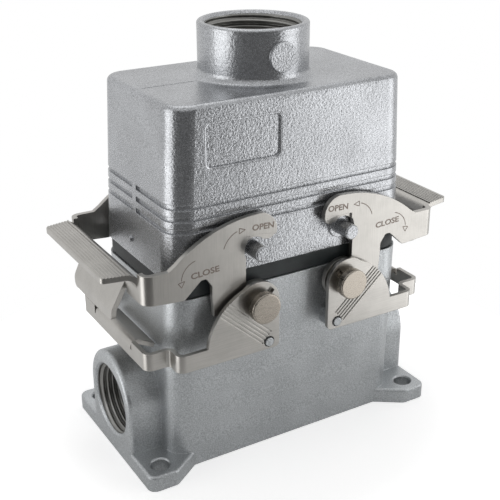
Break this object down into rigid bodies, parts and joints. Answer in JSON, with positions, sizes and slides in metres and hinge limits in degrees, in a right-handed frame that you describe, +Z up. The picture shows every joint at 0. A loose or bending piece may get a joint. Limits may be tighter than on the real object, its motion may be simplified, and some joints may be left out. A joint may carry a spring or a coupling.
{
  "type": "heavy duty rectangular connector",
  "caption": "Die-cast rectangular connector hood with a top cable entry, closed on a surface-mounted housing with a side cable entry by two stainless locking levers, mated screw inserts inside.",
  "frame": {"origin": "centre of the base housing's underside, on the mounting surface", "axes": "+Z up along the plugging direction, +X along the long side towards the blind end, +Y towards the back; the front face with the sunk label panel looks towards -Y, and the side cable entry opens towards -X"},
  "size_m": [0.1072, 0.0594, 0.1146],
  "materials": {
    "housing_paint": "satin",
    "stainless": "satin",
    "pin_steel": "satin",
    "seal": "matte",
    "insert_plastic": "matte",
    "contact_metal": "satin",
    "plated_steel": "satin"
  },
  "bodies": {
    "housing": {"base_housing": "housing_paint", "hood_shell": "housing_paint", "bracket_left": "stainless", "bracket_right": "stainless", "pivot_pin_front_left": "pin_steel", "pivot_pin_front_right": "pin_steel", "pivot_pin_back_left": "pin_steel", "pivot_pin_back_right": "pin_steel", "rim_gasket": "seal", "female_insert": "insert_plastic", "male_insert": "insert_plastic", "female_contacts": "contact_metal", "male_contacts": "contact_metal", "female_earth_plate_left": "plated_steel", "female_earth_plate_right": "plated_steel", "male_earth_plate_left": "plated_steel", "male_earth_plate_right": "plated_steel", "female_fixing_screws": "plated_steel", "male_fixing_screws": "plated_steel", "female_earth_screws": "plated_steel", "male_earth_screws": "plated_steel", "female_terminal_screws": "plated_steel", "male_terminal_screws": "plated_steel"},
    "left_lever": {"lever_left": "stainless"},
    "right_lever": {"lever_right": "stainless"}
  },
  "joints": [
    {"name": "right_lever_pivot", "type": "hinge", "parent": "housing", "child": "right_lever", "pos_m": [0.0137, 0, 0.0477], "axis": [0, 1, 0], "range_deg": [0, 26]},
    {"name": "left_lever_pivot", "type": "hinge", "parent": "housing", "child": "left_lever", "pos_m": [-0.0137, 0, 0.0477], "axis": [0, -1, 0], "range_deg": [0, 26]}
  ]
}
